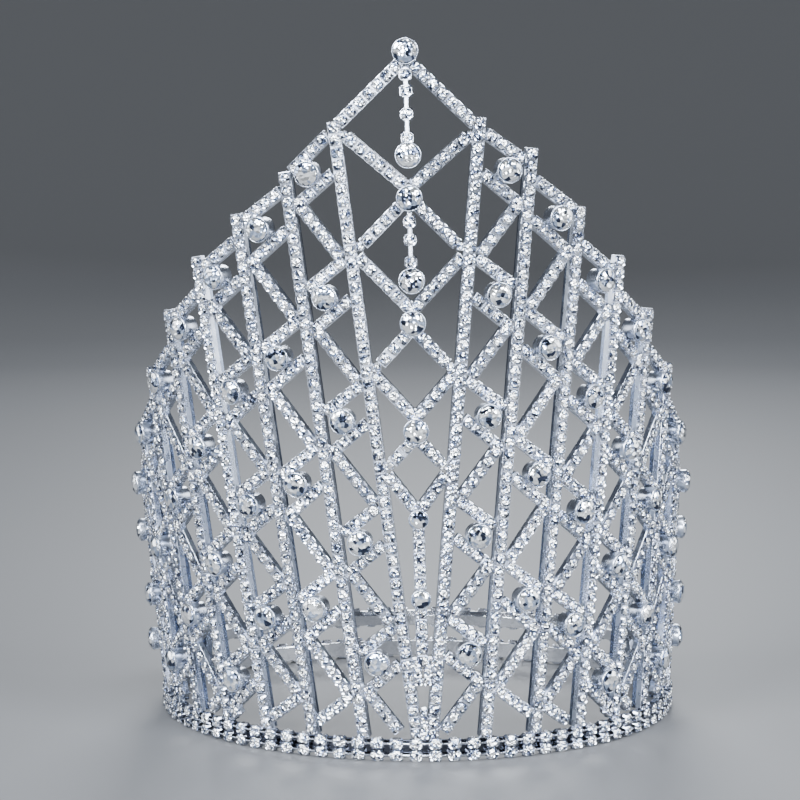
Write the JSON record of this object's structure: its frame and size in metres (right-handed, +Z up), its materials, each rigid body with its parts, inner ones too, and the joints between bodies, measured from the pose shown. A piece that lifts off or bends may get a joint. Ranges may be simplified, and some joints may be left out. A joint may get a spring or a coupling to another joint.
{
  "type": "pageant crown",
  "caption": "Tall full-round crown of soldered stone chain: a double-row band, fanned staves, zigzags with round stones, and a pointed open front gore with two drops.",
  "frame": {"origin": "on the table, under the centre of the crown's bounding box", "axes": "+Z up, -Y towards the tall front, +X towards the right-hand side of someone who looks at the front"},
  "size_m": [0.1661, 0.1537, 0.1934],
  "materials": {
    "silver_metal": "polished silver plate",
    "crystal": "clear cut glass with a foiled back"
  },
  "bodies": {
    "root": {"base_band": "silver_metal", "back_rail": "silver_metal", "peak": "silver_metal", "cross_1": "silver_metal", "cross_2": "silver_metal", "cross_3": "silver_metal", "stem": "silver_metal", "drop_chain_1": "silver_metal", "drop_chain_2": "silver_metal", "stave_left_1": "silver_metal", "stave_left_2": "silver_metal", "stave_left_3": "silver_metal", "stave_left_4": "silver_metal", "stave_left_5": "silver_metal", "stave_left_6": "silver_metal", "stave_left_7": "silver_metal", "stave_left_8": "silver_metal", "stave_left_9": "silver_metal", "stave_left_10": "silver_metal", "stave_left_11": "silver_metal", "stave_right_1": "silver_metal", "stave_right_2": "silver_metal", "stave_right_3": "silver_metal", "stave_right_4": "silver_metal", "stave_right_5": "silver_metal", "stave_right_6": "silver_metal", "stave_right_7": "silver_metal", "stave_right_8": "silver_metal", "stave_right_9": "silver_metal", "stave_right_10": "silver_metal", "stave_right_11": "silver_metal", "zigzag_left_1": "silver_metal", "zigzag_left_2": "silver_metal", "zigzag_left_3": "silver_metal", "zigzag_left_4": "silver_metal", "zigzag_left_5": "silver_metal", "zigzag_left_6": "silver_metal", "zigzag_left_7": "silver_metal", "zigzag_left_8": "silver_metal", "zigzag_left_9": "silver_metal", "zigzag_left_10": "silver_metal", "zigzag_right_1": "silver_metal", "zigzag_right_2": "silver_metal", "zigzag_right_3": "silver_metal", "zigzag_right_4": "silver_metal", "zigzag_right_5": "silver_metal", "zigzag_right_6": "silver_metal", "zigzag_right_7": "silver_metal", "zigzag_right_8": "silver_metal", "zigzag_right_9": "silver_metal", "zigzag_right_10": "silver_metal", "apex_stone": "crystal", "cross_stone_1": "crystal", "cross_stone_2": "crystal", "cross_stone_3": "crystal", "stem_stones": "crystal", "drop_stones": "crystal", "stones_left": "crystal", "stones_right": "crystal"}
  },
  "joints": []
}
